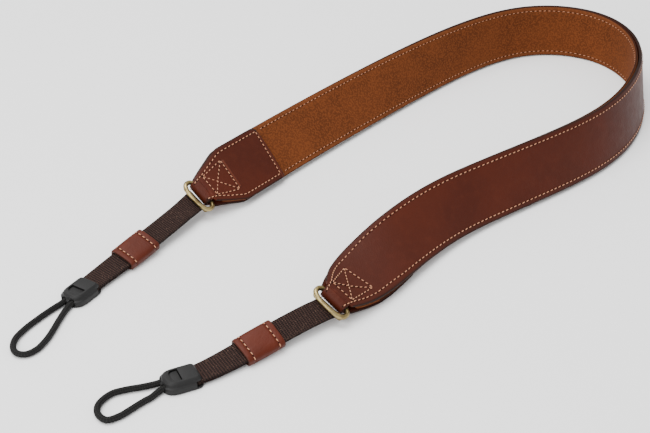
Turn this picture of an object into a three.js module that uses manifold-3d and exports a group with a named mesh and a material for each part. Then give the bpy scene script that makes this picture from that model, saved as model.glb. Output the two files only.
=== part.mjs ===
// Camera neck strap, millimetres, +Z up, lying on the floor as a U that opens towards -X.
// A leather band with a suede lining stands on its lower edge. Each end folds round an oval ring,
// which carries a doubled webbing, a sliding keeper, a quick connector and a cord loop.
import * as THREE from 'three';
import { mergeVertices } from 'three/addons/utils/BufferGeometryUtils.js';
import Module from 'manifold-3d';

const wasm = await Module();
wasm.setup();

// Leather band
const BAND_LENGTH = 588; // between the chamfer corners, along the lower edge
const BAND_WIDTH = 30;
const LEATHER = 2.2;
const LINING = 2.0;
const GAP = 0.1; // between layers that are sewn together
const BAND_STEP = 7;
const HALF_BAND = (LEATHER + GAP + LINING) / 2;

// Where the far chamfer corner stands, and how the band runs from there.
// Heading turns about +Z from +X. Lean is the width's angle over the floor: 90 is upright.
const FAR_CORNER = new THREE.Vector2(-68.9, 44.3);
const BAND_RUN = [
  { along: -25, heading: 5, lean: 27 },
  { along: 0, heading: 5, lean: 44 },
  { along: 60, heading: 3, lean: 50 },
  { along: 120, heading: 2, lean: 59 },
  { along: 180, heading: -2.5, lean: 70 },
  { along: 220, heading: -16, lean: 77 },
  { along: 260, heading: -61, lean: 83 },
  { along: 300, heading: -116, lean: 91 },
  { along: 340, heading: -144.5, lean: 99 },
  { along: 380, heading: -163, lean: 107 },
  { along: 440, heading: -186.5, lean: 118 },
  { along: 500, heading: -188, lean: 126 },
  { along: 545, heading: -174.5, lean: 142 },
  { along: 588, heading: -171.5, lean: 164 },
  { along: 605, heading: -171.5, lean: 151.5 },
  { along: 613, heading: -171.5, lean: 153 },
];

// Tapered ends, measured outward from the chamfer corners
const CHAMFER = 17;
const CORNERS = { far: 2, near: 13 }; // each end's corners are rounded this far to each side
const SHOULDER = 8.2; // half width where the chamfer stops
const NECK = 6.3; // half width of the tongue that goes through the ring
const FLAP_REACH = 28.5; // how far the folded flap comes back over the lining
const FLAP = 1.3;
const FOLD_START = 7; // where the two leather layers begin to part for the fold
const FOLD_LEATHER = 1.6;
const LINING_END = 13;
const RING_FOLD = 17.5; // centre of the fold round the ring's inner bar
const RING_BACK = 0.4; // how far the inner bar's middle lies back from it
const FOLD_ROOM = 2.1; // inner radius of the fold

// Oval ring with a thin bar under its outer side for the webbing
const WIRE = 1.15;
const RING_HALF_LENGTH = 8.5;
const RING_HALF_WIDTH = 3.7;
const RING_SQUARENESS = 0.8;
const BAR_WIRE = 0.6;
const BAR_OUT = 5.3; // from the inner bar
const BAR_DROP = 2.8;
const BAR_HALF_LENGTH = 7.8;
const BAR_PLAY = 0.2; // between the bar and the webbing

// Doubled webbing, and the keeper that slides on it
const WEBBING_WIDTH = 10.8;
const WEBBING_LAYER = 0.9;
const WEBBING_CLOSE = 4.5; // its two layers meet this far from the ring's bar
const LANDING = 0.6; // share of a third of its run over which the webbing levels out at the connector
const KEEPER_LENGTH = 18.9;
const KEEPER_WIDTH = 13.6;
const KEEPER_HEIGHT = 5.6;
const KEEPER_WALL = 1.2;
const KEEPER_SQUARENESS = 0.6;

// Quick connector and its plug
const HOUSING_LENGTH = 17.1;
const HOUSING_WIDTH = 13;
const HOUSING_CORNERS = { mouth: 3.4, cord: 6.2 };
const HOUSING_LAYERS = [
  { height: 0, inset: 0.4 },
  { height: 0.4, inset: 0 },
  { height: 2.9, inset: 0 },
  { height: 3.4, inset: 0.7 },
  { height: 4.5, inset: 1.1 },
  { height: 5.3, inset: 2.0 },
];
const SLOT_DEPTH = 3.6;
const PLAY = 0.3;
// Along the housing from its mouth, half its width, and height
const WINDOW = { from: 8.7, to: 12.9, half: 3.7, corners: { mouth: 0.3, cord: 2.4 } };
const PLUG = { from: 6.6, to: 13.3, half: 4.6, low: 0.9, high: 3.5, lug: 4.6 };

// Cord loops
const CORD = 2.8;
const CORD_SPACING = 4.2;
const CORD_HEIGHT = 2.1; // where it leaves the connector
const CORD_SEAT = 2.2; // how deep it sits in the connector

// Fineness of round shapes
const RING_STEPS = 36;
const RING_SIDES = 10;
const BAR_SIDES = 8;
const BAR_STEPS = 30;
const KEEPER_SIDES = 20;
const CORNER_STEPS = 5;
const SOCKET_SIDES = 16;
const CORD_SIDES = 8;
const CORD_STEPS = 30;
const BEYOND = 1; // how far a cutting body reaches past the surface

// Both ends: where the mouth of each connector lies, its heading from the webbing towards the cord,
// how the ring is turned and slid in its fold, how far the webbing sits along the ring's bar,
// how it bows up and sways in y, its lean at the ring, the keeper and the connector,
// and the cord's route over the floor.
const ENDS = {
  far: {
    side: -1,
    up: 1,
    ringTurn: 2.5,
    ringSlide: -0.5,
    slide: -0.3,
    bow: 1.5,
    sway: -3,
    mouth: new THREE.Vector3(-164.7, 44.2, 2.3),
    heading: -168.5,
    leans: [17, 18, 1],
    keeperAt: 0.585,
    loop: [
      [-179.7, 43.3, 2.1], [-183, 42.6, 1.8], [-188.6, 42.4, 1.55], [-196.4, 41.3, 1.55],
      [-204.4, 39.7, 1.55], [-211.4, 37.1, 1.55], [-215.8, 32.9, 1.55], [-216.9, 28.3, 1.55],
      [-214.4, 24.9, 1.55], [-209.4, 24.5, 1.55], [-204.6, 26.1, 1.55], [-200.1, 28.3, 1.55],
      [-195.6, 31, 1.55], [-190.4, 34.3, 1.55],
      [-183, 38.3, 1.8], [-178.9, 39.2, 2.1],
    ],
  },
  near: {
    side: 1,
    up: -1,
    ringTurn: 0,
    ringSlide: 0,
    slide: 0,
    bow: 2.1,
    sway: 0,
    mouth: new THREE.Vector3(-174.1, -38.2, 2.3),
    heading: 158,
    leans: [151, 156, 180],
    keeperAt: 0.53,
    loop: [
      [-187.1, -30.7, 2.1], [-190.1, -29.4, 1.8], [-195, -26.5, 1.55], [-201, -22.8, 1.55],
      [-206.4, -20.6, 1.55], [-212.7, -21.4, 1.55], [-216.5, -24.3, 1.55], [-217.9, -28.2, 1.55],
      [-217, -31.8, 1.55], [-212.3, -33.4, 1.55], [-207.8, -33.6, 1.55], [-203.3, -33.6, 1.55],
      [-199.8, -33.7, 1.55], [-196.4, -34, 1.55],
      [-191.8, -33.6, 1.8], [-188.7, -34.6, 2.1],
    ],
  },
};

const UP = new THREE.Vector3(0, 0, 1);
const vec = (x, y, z) => new THREE.Vector3(x, y, z);
const rad = THREE.MathUtils.degToRad;
const lerp = THREE.MathUtils.lerp;

// Band frames

const runValues = BAND_RUN.flatMap((row) => [row.heading, row.lean]);
const runCurve = new THREE.CubicInterpolant(BAND_RUN.map((row) => row.along), runValues, 2);
const runAt = (s) => {
  const ends = [BAND_RUN[0].along, BAND_RUN.at(-1).along];
  const [heading, lean] = runCurve.evaluate(THREE.MathUtils.clamp(s, ...ends));
  return { heading: rad(heading), lean: rad(lean) };
};

// Footing of the band at each millimetre, walked from the far corner in both directions
const footings = new Map([[0, FAR_CORNER.clone()]]);
for (const way of [-1, 1]) {
  const last = way < 0 ? 40 : BAND_LENGTH + 40;
  for (let i = 1; i <= last; i += 1) {
    const heading = runAt(way * (i - 0.5)).heading;
    const stride = new THREE.Vector2(Math.cos(heading), Math.sin(heading)).multiplyScalar(way);
    footings.set(way * i, footings.get(way * (i - 1)).clone().add(stride));
  }
}

// Axes of the band at a distance along it: along, across its width, and normal on the suede side
function bandFrame(s) {
  const { heading, lean } = runAt(s);
  const along = vec(Math.cos(heading), Math.sin(heading), 0);
  const left = vec(-along.y, along.x, 0);
  const across = left.clone().multiplyScalar(Math.cos(lean)).addScaledVector(UP, Math.sin(lean));
  const normal = along.clone().cross(across);
  const below = Math.floor(s);
  const foot = footings.get(below).clone().lerp(footings.get(below + 1), s - below);
  const flap = (GAP + FLAP) * THREE.MathUtils.smoothstep(s, BAND_LENGTH - 100, BAND_LENGTH - FLAP_REACH);
  const lift = Math.max(HALF_BAND * normal.z, -(HALF_BAND + flap) * normal.z);
  const centre = vec(foot.x, foot.y, lift).addScaledVector(across, BAND_WIDTH / 2);
  return { centre, along, across, normal };
}

// Half width of the band's outline at a distance along it
function halfWidth(s) {
  const corner = s < BAND_LENGTH / 2 ? CORNERS.far : CORNERS.near;
  const out = Math.max(-s, s - BAND_LENGTH);
  const slope = (BAND_WIDTH / 2 - SHOULDER) / CHAMFER;
  if (out <= -corner) return BAND_WIDTH / 2;
  if (out < corner) return BAND_WIDTH / 2 - (slope * (out + corner) ** 2) / (4 * corner);
  if (out <= CHAMFER) return BAND_WIDTH / 2 - slope * out;
  return NECK;
}

// Closed bodies from sections

function geometryOf(points, index) {
  const geometry = new THREE.BufferGeometry();
  const values = points.flatMap((p) => [p.x, p.y, p.z]);
  geometry.setAttribute('position', new THREE.Float32BufferAttribute(values, 3));
  geometry.setIndex(index);
  geometry.computeVertexNormals();
  return geometry;
}

function volumeOf(points, index) {
  let sum = 0;
  for (let i = 0; i < index.length; i += 3) {
    const [a, b, c] = [0, 1, 2].map((k) => points[index[i + k]]);
    sum += a.dot(b.clone().cross(c));
  }
  return sum / 6;
}

// Body through a row of sections with the same number of points, capped, or closed into a ring.
// A twisted strip bulges out along one diagonal of its faces and in along the other.
function loft(sections, ring = false, otherDiagonal = false) {
  const sides = sections[0].length;
  const points = sections.flat();
  const index = [];
  const spans = ring ? sections.length : sections.length - 1;
  for (let i = 0; i < spans; i += 1) {
    const here = i * sides;
    const next = ((i + 1) % sections.length) * sides;
    for (let j = 0; j < sides; j += 1) {
      const k = (j + 1) % sides;
      if (otherDiagonal) index.push(here + j, here + k, next + j, here + k, next + k, next + j);
      else index.push(here + j, here + k, next + k, here + j, next + k, next + j);
    }
  }
  if (!ring) {
    const end = (sections.length - 1) * sides;
    for (let j = 1; j < sides - 1; j += 1) index.push(0, j + 1, j, end, end + j, end + j + 1);
  }
  if (volumeOf(points, index) < 0) index.reverse();
  return geometryOf(points, index);
}

// Section of a flat strip with softened edges
function stripSection(centre, across, face, half, thick, edge = 0.4) {
  const h = thick / 2;
  const corners = [
    [-half, edge - h], [edge - half, -h], [half - edge, -h], [half, edge - h],
    [half, h - edge], [half - edge, h], [edge - half, h], [-half, h - edge],
  ];
  return corners.map(([a, b]) => centre.clone().addScaledVector(across, a).addScaledVector(face, b));
}

function solidOf(geometry) {
  const bare = geometry.clone();
  bare.deleteAttribute('normal');
  bare.deleteAttribute('uv');
  const merged = mergeVertices(bare, 1e-4);
  const mesh = new wasm.Mesh({
    numProp: 3,
    vertProperties: new Float32Array(merged.attributes.position.array),
    triVerts: new Uint32Array(merged.index.array),
  });
  return new wasm.Manifold(mesh);
}

function geometryFrom(solid) {
  const mesh = solid.getMesh();
  const geometry = new THREE.BufferGeometry();
  geometry.setAttribute('position', new THREE.Float32BufferAttribute(mesh.vertProperties, 3));
  geometry.setIndex(Array.from(mesh.triVerts));
  geometry.computeVertexNormals();
  return geometry;
}

// Leather and lining

// Both ends have more sections, counted from the chamfer corner
const INNER_ENDS = [0, 1, 2, 9, FLAP_REACH];
const LINED_TAPER = [1, 2, 5, 9, LINING_END];
const bandStations = () => {
  const [first, last] = [16, BAND_LENGTH - 16];
  const count = Math.round((last - first) / BAND_STEP);
  const inner = Array.from({ length: count + 1 }, (_, i) => lerp(first, last, i / count));
  return [...INNER_ENDS, ...inner, ...INNER_ENDS.map((s) => BAND_LENGTH - s)].sort((a, b) => a - b);
};
const TAPER = [...LINED_TAPER, CHAMFER];
const endStation = (end, out) => (end.side < 0 ? -out : BAND_LENGTH + out);
const FOLD_RADIUS = FOLD_ROOM + FOLD_LEATHER / 2;
const FOLD_HEIGHT = HALF_BAND - LINING / 2; // middle of the lining's layer

// One layer of the leather: side -1 is the smooth face, 1 the flap over the lining
function layerSection(end, out, layer) {
  const s = endStation(end, out);
  const { centre, across, normal } = bandFrame(s);
  const blend = THREE.MathUtils.smoothstep(out, FOLD_START, CHAMFER);
  const flat = layer > 0 ? HALF_BAND + GAP + FLAP / 2 : -HALF_BAND + LEATHER / 2;
  const offset = lerp(flat, FOLD_HEIGHT + layer * FOLD_RADIUS, blend);
  const thick = lerp(layer > 0 ? FLAP : LEATHER, FOLD_LEATHER, blend);
  const middle = centre.clone().addScaledVector(normal, offset);
  return stripSection(middle, across, normal.clone().multiplyScalar(layer), halfWidth(s), thick);
}

function neckSections(end, layer) {
  return [...TAPER, CHAMFER + 0.4].map((out) => layerSection(end, out, layer));
}

function foldSections(end) {
  const { centre, along, across, normal } = bandFrame(endStation(end, RING_FOLD));
  const outward = along.clone().multiplyScalar(end.side);
  const middle = centre.clone().addScaledVector(normal, FOLD_HEIGHT);
  const turns = [90, 60, 30, 0, -30, -60, -90].map(rad);
  return turns.map((turn) => {
    const face = outward.clone().multiplyScalar(Math.cos(turn)).addScaledVector(normal, Math.sin(turn));
    const place = middle.clone().addScaledVector(face, FOLD_RADIUS);
    return stripSection(place, across, face, NECK, FOLD_LEATHER);
  });
}

// From the flap's edge over the lining, round the ring's bar, to the smooth side
function endSections(end) {
  const flap = bandStations().filter((s) => s <= FLAP_REACH).reverse().map((s) => layerSection(end, -s, 1));
  const outside = neckSections(end, -1).reverse();
  return [...flap, ...neckSections(end, 1), ...foldSections(end), ...outside];
}

function leatherGeometry() {
  const band = bandStations().map((s) => {
    const { centre, across, normal } = bandFrame(s);
    const middle = centre.clone().addScaledVector(normal, -HALF_BAND + LEATHER / 2);
    return stripSection(middle, across, normal.clone().negate(), halfWidth(s), LEATHER);
  });
  return loft([...endSections(ENDS.far), ...band, ...endSections(ENDS.near).reverse()]);
}

function liningGeometry() {
  const tail = (end) => [...LINED_TAPER].reverse().map((out) => endStation(end, out));
  const stations = [...tail(ENDS.far), ...bandStations(), ...tail(ENDS.near).reverse()];
  const sections = stations.map((s) => {
    const { centre, across, normal } = bandFrame(s);
    const out = Math.max(-s, s - BAND_LENGTH);
    const middle = centre.clone().addScaledVector(normal, FOLD_HEIGHT);
    return stripSection(middle, across, normal, halfWidth(s) - (out > 0 ? 0.4 : 0.1), LINING, 0.6);
  });
  return loft(sections);
}

// Ring: outward from the band, across its bar, and up on the side that is seen

function ringFrame(end) {
  const { centre, along, across, normal } = bandFrame(endStation(end, RING_FOLD));
  const up = normal.clone().multiplyScalar(end.up);
  const turn = new THREE.Quaternion().setFromAxisAngle(up, rad(end.ringTurn));
  const outward = along.clone().multiplyScalar(end.side).applyQuaternion(turn);
  const origin = centre.clone().addScaledVector(normal, FOLD_HEIGHT).addScaledVector(across, end.ringSlide)
    .addScaledVector(along, -end.side * RING_BACK);
  return { origin, outward, across: across.clone().applyQuaternion(turn), up };
}

const inFrame = (frame, out, cross, rise) => frame.origin.clone()
  .addScaledVector(frame.outward, out).addScaledVector(frame.across, cross).addScaledVector(frame.up, rise);

function ringGeometry(end) {
  const frame = ringFrame(end);
  const squared = (x) => Math.sign(x) * Math.abs(x) ** RING_SQUARENESS;
  const oval = (turn) => inFrame(
    frame,
    RING_HALF_WIDTH + RING_HALF_WIDTH * squared(Math.sin(turn)),
    RING_HALF_LENGTH * squared(Math.cos(turn)),
    0,
  );
  const count = RING_STEPS;
  const sections = Array.from({ length: count }, (_, i) => {
    const turn = ((i + 0.5) * 2 * Math.PI) / count;
    const place = oval(turn);
    const run = oval(turn + 0.01).sub(oval(turn - 0.01)).normalize();
    const side = run.clone().cross(frame.up);
    return Array.from({ length: RING_SIDES }, (_unused, j) => {
      const around = (j * 2 * Math.PI) / RING_SIDES;
      return place.clone().addScaledVector(side, WIRE * Math.cos(around))
        .addScaledVector(frame.up, WIRE * Math.sin(around));
    });
  });
  const corner = 2 * BAR_WIRE;
  const route = new THREE.CurvePath();
  const at = (cross, rise) => inFrame(frame, BAR_OUT, cross, rise);
  const [end0, end1] = [-BAR_HALF_LENGTH, BAR_HALF_LENGTH];
  route.add(new THREE.LineCurve3(at(end0, 0), at(end0, corner - BAR_DROP)));
  route.add(new THREE.QuadraticBezierCurve3(
    at(end0, corner - BAR_DROP), at(end0, -BAR_DROP), at(end0 + corner, -BAR_DROP)));
  route.add(new THREE.LineCurve3(at(end0 + corner, -BAR_DROP), at(end1 - corner, -BAR_DROP)));
  route.add(new THREE.QuadraticBezierCurve3(
    at(end1 - corner, -BAR_DROP), at(end1, -BAR_DROP), at(end1, corner - BAR_DROP)));
  route.add(new THREE.LineCurve3(at(end1, corner - BAR_DROP), at(end1, 0)));
  const round = circleShape(BAR_WIRE, BAR_SIDES);
  const bar = new THREE.ExtrudeGeometry(round, { steps: BAR_STEPS, extrudePath: route });
  return geometryFrom(solidOf(loft(sections, true)).add(solidOf(bar)));
}

function circleShape(radius, sides) {
  const points = Array.from({ length: sides }, (_, i) => {
    const turn = (i * 2 * Math.PI) / sides;
    return new THREE.Vector2(radius * Math.cos(turn), radius * Math.sin(turn));
  });
  return new THREE.Shape(points);
}

// Webbing: from the ring's thin bar to the connector, as two layers that fold round the bar

function webbingRun(end) {
  const frame = ringFrame(end);
  const start = inFrame(frame, BAR_OUT, end.slide, -BAR_DROP);
  const axis = vec(Math.cos(rad(end.heading)), Math.sin(rad(end.heading)), 0);
  const finish = end.mouth.clone().addScaledVector(axis, SLOT_DEPTH - PLAY);
  const reach = start.distanceTo(finish) / 3;
  const lead = finish.clone().sub(start).normalize();
  const first = start.clone().addScaledVector(lead, reach);
  const last = finish.clone().addScaledVector(axis, -reach * LANDING);
  first.add(vec(0, end.sway, end.bow));
  return { frame, axis, curve: new THREE.CubicBezierCurve3(start, first, last, finish) };
}

function webbingFrame(end, run, share) {
  const centre = run.curve.getPointAt(share);
  const onward = run.curve.getTangentAt(share);
  const along = onward.clone().multiplyScalar(end.side);
  const [atRing, atKeeper, atConnector] = end.leans;
  const early = Math.min(share / end.keeperAt, 1);
  const late = Math.max((share - end.keeperAt) / (1 - end.keeperAt), 0);
  const lean = rad(share < end.keeperAt ? lerp(atRing, atKeeper, early) : lerp(atKeeper, atConnector, late));
  const left = UP.clone().cross(along).normalize();
  const across = left.multiplyScalar(Math.cos(lean)).addScaledVector(UP, Math.sin(lean));
  across.addScaledVector(along, -across.dot(along)).normalize();
  const skew = 1 - THREE.MathUtils.smoothstep(share, 0, 0.16);
  across.lerp(run.frame.across, skew).normalize();
  const normal = along.clone().cross(across).normalize();
  return { centre, onward, across, normal };
}

function webbingGeometry(end) {
  const run = webbingRun(end);
  const total = run.curve.getLength();
  const tight = (WEBBING_LAYER + GAP) / 2;
  const wide = BAR_WIRE + BAR_PLAY + WEBBING_LAYER / 2;
  const half = WEBBING_WIDTH / 2;
  const shares = [1.2, 2.6, 4.5, 7, 10].map((mm) => mm / total);
  for (let i = 1; i <= 12; i += 1) shares.push(lerp(shares[4], 1, i / 12));
  const layer = (sign) => shares.map((share) => {
    const { centre, across, normal } = webbingFrame(end, run, share);
    const open = 1 - THREE.MathUtils.smoothstep(share * total, 0, WEBBING_CLOSE);
    const place = centre.clone().addScaledVector(normal, sign * lerp(tight, wide, open));
    return stripSection(place, across, normal.clone().multiplyScalar(sign), half, WEBBING_LAYER, 0.25);
  });
  const { centre, onward, across, normal } = webbingFrame(end, run, 0);
  const fold = [90, 120, 150, 180, 210, 240, 270].map((degrees) => {
    const face = normal.clone().multiplyScalar(Math.sin(rad(degrees)))
      .addScaledVector(onward, Math.cos(rad(degrees)));
    return stripSection(centre.clone().addScaledVector(face, wide), across, face, half, WEBBING_LAYER, 0.25);
  });
  // the two layers' inner faces bulge apart, whichever way the strip is twisted
  const turnsUp = end.leans[2] > end.leans[1];
  return loft([...layer(1).reverse(), ...fold, ...layer(-1)], false, turnsUp);
}

// Keeper: a flattened leather tube round the webbing

function keeperGeometry(end) {
  const run = webbingRun(end);
  const total = run.curve.getLength();
  const squared = (x) => Math.sign(x) * Math.abs(x) ** KEEPER_SQUARENESS;
  const outline = (half, rise) => (share) => {
    const { centre, across, normal } = webbingFrame(end, run, end.keeperAt + (share * KEEPER_LENGTH) / total);
    return Array.from({ length: KEEPER_SIDES }, (_, i) => {
      const turn = ((i + 0.5) * 2 * Math.PI) / KEEPER_SIDES;
      return centre.clone().addScaledVector(across, half * squared(Math.cos(turn)))
        .addScaledVector(normal, rise * squared(Math.sin(turn)));
    });
  };
  const [half, rise] = [KEEPER_WIDTH / 2, KEEPER_HEIGHT / 2];
  const shares = [-0.5, -0.2, 0.2, 0.5];
  const inside = outline(half - KEEPER_WALL, rise - KEEPER_WALL);
  return loft([...shares.map(outline(half, rise)), ...shares.reverse().map(inside)], true);
}

// Connector: a housing with a raised top, a window and a slot for the webbing, and its plug

function connectorPlace(end) {
  const turn = new THREE.Matrix4().makeRotationZ(rad(end.heading));
  return turn.setPosition(end.mouth.x, end.mouth.y, 0);
}

// Outline with its own corner radius at the mouth's side and at the cord's side
function roundedOutline({ from, to, half, corners }, inset) {
  const [x0, x1, y] = [from + inset, to - inset, half - inset];
  const [r0, r1] = [corners.mouth, corners.cord].map((radius) => Math.max(radius - inset, 0.1));
  const shape = new THREE.Shape();
  shape.moveTo(x0 + r0, -y).lineTo(x1 - r1, -y).quadraticCurveTo(x1, -y, x1, r1 - y);
  shape.lineTo(x1, y - r1).quadraticCurveTo(x1, y, x1 - r1, y);
  shape.lineTo(x0 + r0, y).quadraticCurveTo(x0, y, x0, y - r0);
  shape.lineTo(x0, r0 - y).quadraticCurveTo(x0, -y, x0 + r0, -y);
  return shape.getPoints(CORNER_STEPS).slice(0, -1);
}

// Upright body with the same outline from one height to another
function upright(outline, low, high) {
  return solidOf(loft([low, high].map((z) => outline.map((p) => vec(p.x, p.y, z)))));
}

function boxSolid(x0, x1, half, low, high) {
  const box = new THREE.BoxGeometry(x1 - x0, 2 * half, high - low);
  box.translate((x0 + x1) / 2, 0, (low + high) / 2);
  return solidOf(box);
}

function socketSolid(side) {
  const radius = CORD / 2 + PLAY;
  const length = 2 * CORD_SEAT + PLAY;
  const bore = new THREE.CylinderGeometry(radius, radius, length, SOCKET_SIDES);
  bore.rotateZ(Math.PI / 2);
  bore.translate(HOUSING_LENGTH - CORD_SEAT - PLAY + length / 2, (side * CORD_SPACING) / 2, CORD_HEIGHT);
  return solidOf(bore);
}

function housingGeometry(end) {
  const body = { from: 0, to: HOUSING_LENGTH, half: HOUSING_WIDTH / 2, corners: HOUSING_CORNERS };
  const sections = HOUSING_LAYERS.map(({ height, inset }) => (
    roundedOutline(body, inset).map((p) => vec(p.x, p.y, height))
  ));
  const mouth = end.mouth.z;
  const slotHalf = WEBBING_LAYER + GAP / 2 + PLAY;
  const slot = boxSolid(-BEYOND, SLOT_DEPTH, HOUSING_WIDTH, mouth - slotHalf, mouth + slotHalf);
  const bay = boxSolid(PLUG.from - PLAY, PLUG.to + PLAY, PLUG.half + PLAY, PLUG.low - PLAY, PLUG.high + PLAY);
  const window = upright(roundedOutline(WINDOW, 0), PLUG.high, HOUSING_LAYERS.at(-1).height + BEYOND);
  return geometryFrom([slot, bay, window, socketSolid(-1), socketSolid(1)]
    .reduce((solid, cut) => solid.subtract(cut), solidOf(loft(sections))));
}

function plugGeometry() {
  const body = boxSolid(PLUG.from, PLUG.to, PLUG.half, PLUG.low, PLUG.high);
  const lug = upright(roundedOutline(WINDOW, PLAY), PLUG.high - BEYOND, PLUG.lug);
  return geometryFrom(body.add(lug));
}

function cordGeometry(end) {
  const route = new THREE.CatmullRomCurve3(end.loop.map((p) => vec(...p)));
  const round = circleShape(CORD / 2, CORD_SIDES);
  return new THREE.ExtrudeGeometry(round, { steps: CORD_STEPS, extrudePath: route });
}

// Assembly

const FINISHES = {
  leather: { color: 0x6b3a2c, roughness: 0.5, metalness: 0 },
  suede: { color: 0x7a4423, roughness: 0.95, metalness: 0 },
  brass: { color: 0xb39a6b, roughness: 0.3, metalness: 0.9 },
  webbing: { color: 0x3a2b28, roughness: 0.85, metalness: 0 },
  plastic: { color: 0x464443, roughness: 0.45, metalness: 0 },
  cord: { color: 0x232321, roughness: 0.8, metalness: 0 },
};

const group = new THREE.Group();

function addPiece(name, geometry, finish, place) {
  const mesh = new THREE.Mesh(geometry, new THREE.MeshStandardMaterial(FINISHES[finish]));
  mesh.name = name;
  if (place) mesh.applyMatrix4(place);
  group.add(mesh);
}

addPiece('strap_leather', leatherGeometry(), 'leather');
addPiece('suede_lining', liningGeometry(), 'suede');
for (const [name, end] of Object.entries(ENDS)) {
  addPiece(`ring_${name}`, ringGeometry(end), 'brass');
  addPiece(`webbing_${name}`, webbingGeometry(end), 'webbing');
  addPiece(`keeper_${name}`, keeperGeometry(end), 'leather');
  addPiece(`connector_housing_${name}`, housingGeometry(end), 'plastic', connectorPlace(end));
  addPiece(`connector_plug_${name}`, plugGeometry(), 'plastic', connectorPlace(end));
  addPiece(`cord_loop_${name}`, cordGeometry(end), 'cord');
}

export default group;
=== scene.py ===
"""The looks of a leather camera neck strap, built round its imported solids. Metres, +Z up."""

import functools
import math
import random

import bmesh
import bpy
from mathutils import Matrix, Quaternion, Vector


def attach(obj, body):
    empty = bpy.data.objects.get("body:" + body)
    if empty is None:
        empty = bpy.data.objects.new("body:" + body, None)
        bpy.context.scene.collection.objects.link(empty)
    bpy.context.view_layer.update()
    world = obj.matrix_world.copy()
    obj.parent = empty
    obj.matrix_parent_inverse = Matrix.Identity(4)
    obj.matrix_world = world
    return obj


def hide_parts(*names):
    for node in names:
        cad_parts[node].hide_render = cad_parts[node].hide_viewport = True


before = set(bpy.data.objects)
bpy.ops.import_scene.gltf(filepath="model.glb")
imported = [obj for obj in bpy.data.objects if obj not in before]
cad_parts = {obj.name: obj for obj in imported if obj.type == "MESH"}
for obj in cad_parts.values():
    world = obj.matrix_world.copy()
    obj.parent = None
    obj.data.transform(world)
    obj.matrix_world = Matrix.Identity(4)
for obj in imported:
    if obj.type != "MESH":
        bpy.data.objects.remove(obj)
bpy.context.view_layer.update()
MM = 0.001
UP = Vector((0, 0, 1))

# Camera at the photograph's angle

TARGET = Vector((-50.4, 7.4, 0)) * MM
AZIMUTH, ELEVATION, DISTANCE = math.radians(-47), math.radians(33), 0.62


def add_camera():
    lens = bpy.data.cameras.new("camera")
    lens.lens, lens.sensor_width = 70, 36
    lens.clip_start, lens.clip_end = 0.01, 20
    camera = bpy.data.objects.new("camera", lens)
    level = Vector((-math.sin(AZIMUTH), math.cos(AZIMUTH), 0))
    look = level * math.cos(ELEVATION) - UP * math.sin(ELEVATION)
    camera.location = TARGET - look * DISTANCE
    camera.rotation_euler = look.to_track_quat("-Z", "Y").to_euler()
    bpy.context.scene.collection.objects.link(camera)
    bpy.context.scene.camera = camera


add_camera()

# Sizes and places repeated from the solids, in millimetres

BAND_LENGTH, BAND_WIDTH = 588, 30
LEATHER, LINING, GAP, FLAP = 2.2, 2.0, 0.1, 1.3
HALF_BAND = (LEATHER + GAP + LINING) / 2
FOLD_HEIGHT = HALF_BAND - LINING / 2
CHAMFER, SHOULDER, NECK, FLAP_REACH = 17, 8.2, 6.3, 28.5
FAR_ROUND, NEAR_ROUND = 2, 13
FOLD_START, FOLD_LEATHER, FOLD_ROOM = 7, 1.6, 2.1
FLAP_LIFT = 100  # over this last stretch the band rises by the thickness of the near patch
FOLD_RADIUS = FOLD_ROOM + FOLD_LEATHER / 2
FAR_CORNER = Vector((-68.9, 44.3))
# along, heading, lean
BAND_RUN = [
    (-25, 5, 27), (0, 5, 44), (60, 3, 50), (120, 2, 59), (180, -2.5, 70), (220, -16, 77),
    (260, -61, 83), (300, -116, 91), (340, -144.5, 99), (380, -163, 107), (440, -186.5, 118),
    (500, -188, 126), (545, -174.5, 142), (588, -171.5, 164), (605, -171.5, 151.5), (613, -171.5, 153),
]
RING_FOLD, RING_BACK, WIRE = 17.5, 0.4, 1.15
RING_HALF_LENGTH, RING_HALF_WIDTH, RING_SQUARENESS = 8.5, 3.7, 0.8
BAR_WIRE, BAR_OUT, BAR_DROP, BAR_HALF_LENGTH, BAR_CORNER = 0.6, 5.3, 2.8, 7.8, 1.2
WEBBING_WIDTH, WEBBING_LAYER, WEBBING_CLOSE, LANDING, BAR_PLAY = 10.8, 0.9, 4.5, 0.6, 0.2
KEEPER_LENGTH, KEEPER_WIDTH, KEEPER_HEIGHT, KEEPER_WALL = 18.9, 13.6, 5.6, 1.2
KEEPER_SQUARENESS = 0.6
KEEPER_SEAM = 3  # from the keeper's ends
SKEW_SHARE = 0.16  # of the webbing's run, over which it turns from the ring's heading
SLOT_DEPTH, PLAY = 3.6, 0.3
CORD = 2.8
STRANDS, BRAID_PITCH = 4, 2.0
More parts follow.
